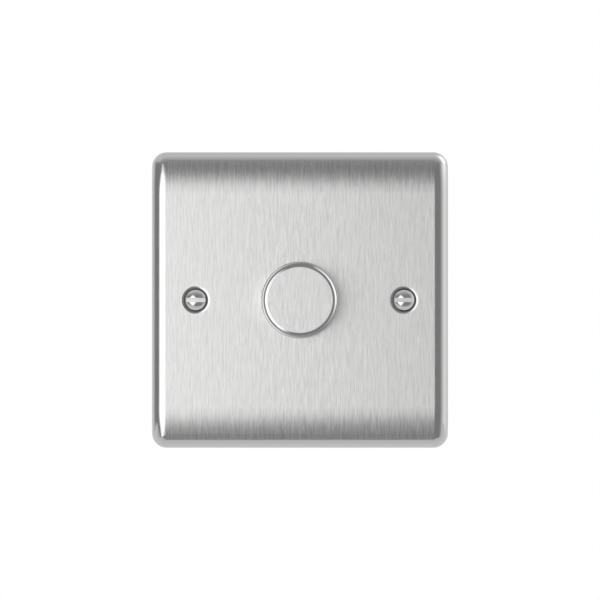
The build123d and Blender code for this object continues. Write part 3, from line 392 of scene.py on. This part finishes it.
# The stage
def studio_tone(surface):
    """How bright the studio is in each direction from the switch: one large softbox ahead and to the
    left, pale side walls, a pale ceiling, a lamp high behind on the right, and a dim room."""
    x, y, z = (surface.axis(name) for name in "XYZ")
    ahead = surface.maths("MULTIPLY", y, -1.0)
    level = surface.vector("LENGTH", surface.vector("MULTIPLY", surface.place, (1.0, 1.0, 0.0)))
    azimuth, elevation, pitch = (
        surface.maths("MULTIPLY", surface.maths("ARCTAN2", a, b), 180 / pi)
        for a, b in ((x, ahead), (z, level), (z, ahead)))

    walls = surface.ramp(azimuth, *RIGHT_WALL_EDGE, ROOM, ROOM + RIGHT_WALL)
    for part, edge in ((RIGHT_WALL_BACK, RIGHT_WALL_BACK_EDGE), (LEFT_WALL, LEFT_WALL_EDGE)):
        walls = surface.maths("ADD", walls, surface.ramp(azimuth, *edge, 0.0, part))
    above = surface.ramp(pitch, *CEILING_EDGE, ROOM, ROOM + CEILING)
    tone = surface.mix(surface.ramp(elevation, *WALL_TOP_EDGE), walls, above)

    from_centre = surface.maths("SUBTRACT", azimuth, SOFTBOX_CENTRE)
    right, left = (
        surface.maths("DIVIDE", surface.maths(side, from_centre, 0.0), reach)
        for side, reach in (("MAXIMUM", SOFTBOX_RIGHT - SOFTBOX_CENTRE),
                            ("MINIMUM", SOFTBOX_CENTRE - SOFTBOX_LEFT)))
    across = surface.maths("ADD", right, left)
    centre = surface.maths("MULTIPLY_ADD", azimuth, SOFTBOX_LEAN, SOFTBOX_LEVEL)
    up = surface.maths("DIVIDE", surface.maths("SUBTRACT", elevation, centre), SOFTBOX_TOP)
    across, up = (surface.maths("POWER", surface.maths("ABSOLUTE", share), SOFTBOX_ROUNDNESS)
                  for share in (across, up))
    spread = surface.maths("ADD", across, up)
    inside = surface.ramp(spread, *SOFTBOX_EDGE, 1.0, 0.0)
    softbox = surface.ramp(azimuth, *SOFTBOX_CORE_EDGE, SOFTBOX_TONE, SOFTBOX_TONE + SOFTBOX_CORE)
    tone = surface.mix(inside, tone, softbox)

    lamp = None
    for angle, middle, size in zip((azimuth, elevation), REAR_LAMP, REAR_LAMP_SIZE):
        part = surface.bell(surface.maths("DIVIDE", surface.maths("SUBTRACT", angle, middle), size))
        lamp = part if lamp is None else surface.maths("MULTIPLY", lamp, part)
    return surface.maths("MULTIPLY_ADD", lamp, REAR_LAMP_TONE, tone)


def glow(name, strength):
    """A surface that gives out plain white light, of the strength its nodes say."""
    surface = Surface(name)
    light = surface.node("ShaderNodeEmission", {"Color": (1.0, 1.0, 1.0)})
    surface.feed(light.inputs["Strength"], strength(surface))
    output = surface.tree.nodes["Material Output"]
    surface.tree.links.new(light.outputs[0], output.inputs["Surface"])
    surface.tree.nodes.remove(surface.shader)
    surface.material.cycles.emission_sampling = "NONE"
    return surface.material


def mesh_object(name, points, faces, material):
    """A piece of the stage, from its points and faces."""
    mesh = bpy.data.meshes.new(name)
    mesh.from_pydata(points, [], faces)
    mesh.materials.append(material)
    made = bpy.data.objects.new(name, mesh)
    bpy.context.scene.collection.objects.link(made)
    return made


# Turned pieces
def ring(made, centre, radius, y, columns):
    """A ring of points about an axis along Y."""
    angles = (2 * pi * j / columns for j in range(columns))
    return [made.verts.new((centre + radius * cos(angle), y, radius * sin(angle))) for angle in angles]


def turned(made, centre, profile, columns):
    """Turns a profile of (radius, y) points, whose first point is on the axis. Gives the last ring."""
    tip = made.verts.new((centre, profile[0][1], 0.0))
    rings = [ring(made, centre, radius, y, columns) for radius, y in profile[1:]]
    for j in range(columns):
        k = (j + 1) % columns
        made.faces.new((tip, rings[0][k], rings[0][j]))
        for lower, upper in zip(rings, rings[1:]):
            made.faces.new((lower[j], lower[k], upper[k], upper[j]))
    return rings[-1]


def finished_mesh(name, made):
    """The mesh of a closed form, with every face turned outwards."""
    bmesh.ops.recalc_face_normals(made, faces=made.faces[:])
    mesh = bpy.data.meshes.new(name)
    made.to_mesh(mesh)
    made.free()
    return mesh


KNOB_WALL = 1.0 * MM
KNOB_GROOVE_RADIUS = 10.0 * MM
KNOB_RIM_RADIUS = 10.5 * MM
KNOB_GROOVE_DEPTH = 0.235 * MM
KNOB_COLUMNS = 160
KNOB_RIM_STEPS = 10
KNOB_SHARP_ANGLE = 12


def make_knob_cap(material):
    """The knob's metal cap, with the fine form of its groove: a shallow bevel round the face, then a
    steeper wall up to the rounded rim."""
    low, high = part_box("knob_shell")
    radius, front, back = high.x, low.y, high.y
    rounding = radius - KNOB_RIM_RADIUS
    profile = [(0.0, front), (KNOB_FACE_RADIUS, front), (KNOB_GROOVE_RADIUS, front + KNOB_GROOVE_DEPTH)]
    for i in range(KNOB_RIM_STEPS + 1):
        angle = pi / 2 * i / KNOB_RIM_STEPS
        profile.append((KNOB_RIM_RADIUS + rounding * sin(angle), front + rounding * (1 - cos(angle))))
    inner = radius - KNOB_WALL
    profile += [(radius, back), (inner, back), (inner, front + KNOB_WALL)]
    made = bmesh.new()
    last = turned(made, 0.0, profile, KNOB_COLUMNS)
    middle = made.verts.new((0.0, front + KNOB_WALL, 0.0))
    for j in range(KNOB_COLUMNS):
        made.faces.new((last[j], last[(j + 1) % KNOB_COLUMNS], middle))
    mesh = finished_mesh("knob_cap", made)
    mesh.materials.append(material)
    mesh.shade_smooth()
    mesh.set_sharp_from_angle(angle=radians(KNOB_SHARP_ANGLE))
    cap = bpy.data.objects.new("knob_cap", mesh)
    bpy.context.scene.collection.objects.link(cap)
    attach(cap, "knob")
    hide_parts("knob_shell")


# The fixing screws
SCREW_LENGTH = 25.8 * MM
THREAD_PITCH = 0.6 * MM
THREAD_HEIGHT = 0.37 * MM
THREAD_RADIUS = 1.75 * MM
THREAD_CREST, THREAD_FLANK = 0.2, 0.55
THREAD_START = 0.2 * MM
SPARE_TURNS = 4
NECK_RADIUS = 1.55 * MM
HEAD_RISE = 1.3 * MM
HEAD_LAND = 0.2 * MM
HEAD_ROUNDING = 0.06 * MM
SLOT_HALF = 0.625 * MM
SLOT_DEPTH = 1.0 * MM
SLOT_BEVEL = 0.05 * MM
CUTTER_MARGIN = 1.0 * MM
TIP_CHAMFER = 0.6 * MM
SCREW_COLUMNS = 64
DOME_ROWS = 14
ROWS_PER_THREAD = 8
SCREW_SHARP_ANGLE = 35


def head_profile(apex, radius):
    """The screw's outline from the dome's top to the neck, as (radius, y)."""
    dome = (radius**2 + HEAD_RISE**2) / (2 * HEAD_RISE)
    profile = [(0.0, apex)]
    for i in range(1, DOME_ROWS + 1):
        r = (radius - HEAD_ROUNDING) * i / DOME_ROWS
        profile.append((r, apex + dome - sqrt(dome**2 - r**2)))
    rim = apex + HEAD_RISE
    seat = rim + HEAD_LAND
    profile.append((radius, rim + HEAD_ROUNDING))
    profile.append((radius, seat))
    profile.append((NECK_RADIUS, seat + radius - NECK_RADIUS))
    return profile


def thread_radius(row, y, start, end):
    """The thread's radius at one row of its helix, run out at both ends. The crest and the flanks are
    shares of half a pitch."""
    phase = abs((row / ROWS_PER_THREAD) % 1.0 - 0.5) * 2
    groove = min(max((phase - THREAD_CREST) / THREAD_FLANK, 0.0), 1.0)
    radius = THREAD_RADIUS - THREAD_HEIGHT * groove
    entering = min((y - start) / THREAD_PITCH, 1.0)
    radius = NECK_RADIUS + (radius - NECK_RADIUS) * entering
    return min(radius, THREAD_RADIUS - TIP_CHAMFER + (end - y))


def screw_mesh(name, node, retainer):
    """A raised countersunk screw with its real thread: a helical grid below a turned head."""
    low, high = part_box(node)
    centre = (low.x + high.x) / 2
    apex = high.y - SCREW_LENGTH
    start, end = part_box(retainer)[1].y + THREAD_START, high.y
    profile = head_profile(apex, (high.x - low.x) / 2)
    profile.append((NECK_RADIUS, start))
    rows = int((end - start) / THREAD_PITCH + SPARE_TURNS) * ROWS_PER_THREAD

    made = bmesh.new()
    turned(made, centre, profile, SCREW_COLUMNS)
    helix = []
    for i in range(rows):
        coil = ring(made, centre, 1.0, 0.0, SCREW_COLUMNS)
        for j in range(SCREW_COLUMNS):
            turns = i / ROWS_PER_THREAD + j / SCREW_COLUMNS - 1
            y = min(max(start + turns * THREAD_PITCH, start), end)
            radius = thread_radius(i, y, start, end)
            coil[j].co = (centre + (coil[j].co.x - centre) * radius, y, coil[j].co.z * radius)
        helix.append(coil)
    for i in range(rows - ROWS_PER_THREAD - 1):
        for j in range(SCREW_COLUMNS):
            last = j + 1 == SCREW_COLUMNS
            k, step = (0, ROWS_PER_THREAD) if last else (j + 1, 0)
            made.faces.new((helix[i][j], helix[i + step][k], helix[i + 1 + step][k], helix[i + 1][j]))
    bmesh.ops.remove_doubles(made, verts=made.verts[:], dist=WELD)
    tip = [edge for edge in made.edges if edge.is_boundary]
    bmesh.ops.holes_fill(made, edges=tip, sides=0)
    return finished_mesh(name, made)


def block_mesh(name, low, high):
    """A box between two corners, to cut with."""
    made = bmesh.new()
    bmesh.ops.create_cube(made, size=1.0)
    for vertex in made.verts:
        for i in range(3):
            vertex.co[i] = low[i] + (vertex.co[i] + 0.5) * (high[i] - low[i])
    return finished_mesh(name, made)


def cut_slot(screw, low, high, floor_y):
    """Takes the slot, which runs right across, out of the screw's head."""
    left = (low.x - CUTTER_MARGIN, low.y - CUTTER_MARGIN, -SLOT_HALF)
    right = (high.x + CUTTER_MARGIN, floor_y, SLOT_HALF)
    cutter = bpy.data.objects.new("cutter", block_mesh("cutter", left, right))
    bpy.context.scene.collection.objects.link(cutter)
    slot = screw.modifiers.new("slot", "BOOLEAN")
    slot.object, slot.operation, slot.solver = cutter, "DIFFERENCE", "EXACT"
    depsgraph = bpy.context.evaluated_depsgraph_get()
    cut = bpy.data.meshes.new_from_object(screw.evaluated_get(depsgraph))
    screw.modifiers.clear()
    screw.data = cut
    bpy.data.objects.remove(cutter)


def finish_screw(mesh, floor_y, head, milled_slot):
    """Gives the slot's faces their own finish, and its lips a fine bevel."""
    mesh.materials.clear()
    mesh.materials.append(head)
    mesh.materials.append(milled_slot)
    shaped = bmesh.new()
    shaped.from_mesh(mesh)
    for face in shaped.faces:
        middle = face.calc_center_median()
        face.material_index = int(abs(middle.z) < SLOT_HALF + WELD and middle.y < floor_y + WELD)
    lips = [edge for edge in shaped.edges if len({face.material_index for face in edge.link_faces}) == 2]
    bmesh.ops.bevel(shaped, geom=lips, offset=SLOT_BEVEL, segments=2, profile=0.5, affect="EDGES",
                    clamp_overlap=True, material=0)
    shaped.to_mesh(mesh)
    shaped.free()
    mesh.shade_smooth()
    mesh.set_sharp_from_angle(angle=radians(SCREW_SHARP_ANGLE))
    for face in mesh.polygons:
        face.use_smooth = face.material_index == 0


def make_screw(side, head, milled_slot):
    """A fixing screw in the place of its plain solid."""
    name, node = "threaded_screw_" + side, "fixing_screw_" + side
    low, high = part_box(node)
    floor_y = high.y - SCREW_LENGTH + SLOT_DEPTH
    screw = bpy.data.objects.new(name, screw_mesh(name, node, "screw_retainer_" + side))
    bpy.context.scene.collection.objects.link(screw)
    cut_slot(screw, low, high, floor_y)
    finish_screw(screw.data, floor_y, head, milled_slot)
    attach(screw, "root")
    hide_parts(node)


def make_return_coil():
    """The spring behind the plunger, which in the switch shortens as the knob is pushed in. Here it is a
    fixed copy of its mesh.
    """
    coil = bpy.data.objects.new("return_coil", nodes["return_spring"].data.copy())
    bpy.context.scene.collection.objects.link(coil)
    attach(coil, "root")
    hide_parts("return_spring")
    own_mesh(coil)


def make_studio():
    """The studio, a sphere round the switch. It lights and mirrors in the switch, and the camera sees
    past it to the white background."""
    points, faces = [], []
    for i in range(STUDIO_ROWS + 1):
        elevation = pi * (i / STUDIO_ROWS - 0.5)
        for j in range(STUDIO_COLUMNS):
            azimuth = 2 * pi * j / STUDIO_COLUMNS
            points.append(Vector((sin(azimuth) * cos(elevation), -cos(azimuth) * cos(elevation),
                                  sin(elevation))) * STUDIO_RADIUS)
    for i in range(STUDIO_ROWS):
        for j in range(STUDIO_COLUMNS):
            low, high, k = i * STUDIO_COLUMNS, (i + 1) * STUDIO_COLUMNS, (j + 1) % STUDIO_COLUMNS
            faces.append((low + j, low + k, high + k, high + j))
    studio = mesh_object("studio", points, faces, glow("studio_mat", studio_tone))
    studio.visible_camera = False


def make_floor():
    """A plain pale floor, whose front edge mirrors in the plate's lower bow. In reflections it has a set
    brightness."""
    corners = ((-FLOOR_HALF, FLOOR_FRONT), (FLOOR_HALF, FLOOR_FRONT),
               (FLOOR_HALF, FLOOR_HALF), (-FLOOR_HALF, FLOOR_HALF))
    points = [(x, y, -FLOOR_DROP) for x, y in corners]
    surface = Surface("floor_mat", roughness=0.8)
    mottle = surface.noise(FLOOR_MOTTLE, 4.0, 0.6)
    surface.set("Base Color", surface.shades(mottle, FLOOR_COLOUR, *FLOOR_SHADES))
    tone = surface.ramp(surface.axis("Y"), FLOOR_FRONT, FLOOR_INNER, FLOOR_TONE_FRONT, FLOOR_TONE_INNER,
                        smooth=False)
    light = surface.node("ShaderNodeEmission", {"Color": (1.0, 1.0, 1.0), "Strength": tone})
    mirrored = surface.node("ShaderNodeLightPath").outputs["Is Glossy Ray"]
    both = surface.node("ShaderNodeMixShader")
    for socket, value in zip(both.inputs, (mirrored, surface.shader.outputs[0], light.outputs[0])):
        surface.feed(socket, value)
    surface.feed(surface.tree.nodes["Material Output"].inputs["Surface"], both.outputs[0])
    surface.material.cycles.emission_sampling = "NONE"
    floor_piece = mesh_object("floor", points, [(0, 1, 2, 3)], surface.material)


def make_world():
    """An even white surround."""
    world = bpy.data.worlds.new("surround")
    world.use_nodes = True
    world.node_tree.nodes["Background"].inputs["Color"].default_value = (1.0, 1.0, 1.0, 1.0)
    world.node_tree.nodes["Background"].inputs["Strength"].default_value = 1.0
    bpy.context.scene.world = world


def make_camera():
    """The photograph's view: straight at the plate from well back."""
    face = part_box("face_plate")[0].y
    data = bpy.data.cameras.new("camera")
    data.sensor_width = SENSOR_WIDTH
    data.lens = SENSOR_WIDTH * CAMERA_DISTANCE / PHOTO_WIDTH
    camera = bpy.data.objects.new("camera", data)
    camera.location = (0.0, face - CAMERA_DISTANCE, 0.0)
    camera.rotation_euler = (pi / 2, 0.0, 0.0)
    bpy.context.scene.collection.objects.link(camera)
    bpy.context.scene.camera = camera


make_world()
make_studio()
make_floor()
make_camera()
bpy.context.scene.view_settings.view_transform = "Standard"

chrome = polished("chrome_mat", (0.74, 0.74, 0.735), 0.1, 1.5 * MM)
milled = mill_finish("milled_mat", (0.72, 0.72, 0.715), 0.3, "X")
zinc = polished("zinc_mat", (0.62, 0.62, 0.60), 0.3, 1.2 * MM)
spring = polished("spring_steel_mat", (0.48, 0.48, 0.49), 0.3, 1.0 * MM)
brass = turned_metal("brass_mat", (0.80, 0.62, 0.30), 0.28)
copper = turned_metal("enamelled_copper_mat", (0.62, 0.25, 0.10), 0.25)
aluminium = mill_finish("aluminium_mat", (0.75, 0.76, 0.77), 0.38, "X")
black = moulded("black_plastic_mat", (0.035, 0.035, 0.038), 0.5, 0.22 * MM, 0.012 * MM)
nylon = moulded("white_nylon_mat", (0.80, 0.79, 0.75), 0.42, 0.4 * MM, 0.004 * MM)
laminate = moulded("laminate_mat", (0.42, 0.25, 0.12), 0.45, 0.3 * MM, 0.006 * MM, 1.2)
ferrite = moulded("ferrite_mat", (0.75, 0.62, 0.14), 0.4, 0.6 * MM, 0.01 * MM)
yellow = moulded("yellow_case_mat", (0.80, 0.56, 0.06), 0.25, 0.8 * MM, 0.004 * MM)
red = moulded("red_case_mat", (0.42, 0.07, 0.04), 0.22, 0.8 * MM, 0.004 * MM)
cream = moulded("resistor_mat", (0.66, 0.55, 0.36), 0.3, 0.5 * MM, 0.004 * MM)
blue = moulded("diac_mat", (0.08, 0.16, 0.42), 0.25, 0.5 * MM, 0.004 * MM)

give(brushed("plate_mat", plate_brushed, plate_inside, dimple_shadow), "face_plate")
knob_steel = brushed("knob_mat", knob_brushed)
give(knob_steel, "knob_shell")
make_knob_cap(knob_steel)
give(chrome, "fixing_screw_left", "fixing_screw_right")
for side in ("left", "right"):
    make_screw(side, chrome, milled)
give(zinc, "lock_washer", "bush_nut", "pot_cover", "case_screw_1", "case_screw_2", "triac_screw",
     "fuse_caps", "fuse_clips", "terminal_screw_common", "terminal_screw_one_way", "terminal_screw_two_way")
give(spring, "latch_wire", "return_spring", "knob_grip_ring", "shaft_clip")
make_return_coil()
give(brass, "earth_terminal", "earth_screw", "threaded_bush", "track_pins", "fixed_contact_left",
     "fixed_contact_right", "moving_contact", "wiper", "terminal_common", "terminal_one_way",
     "terminal_two_way")
give(copper, "choke_winding")
give(aluminium, "heat_sink", "shaft")
give(black, "knob_core", "switch_body", "housing", "triac")
give(nylon, "screw_retainer_left", "screw_retainer_right", "triac_insulator", "switch_plunger", "rotor")
give(laminate, "track_wafer")
give(ferrite, "choke_core")
give(yellow, "suppression_capacitor")
give(red, "timing_capacitor")
give(cream, "resistor_1", "resistor_2")
give(blue, "diac")
give(circuit_laminate(), "circuit_board")
give(clear_glass(), "fuse_glass")
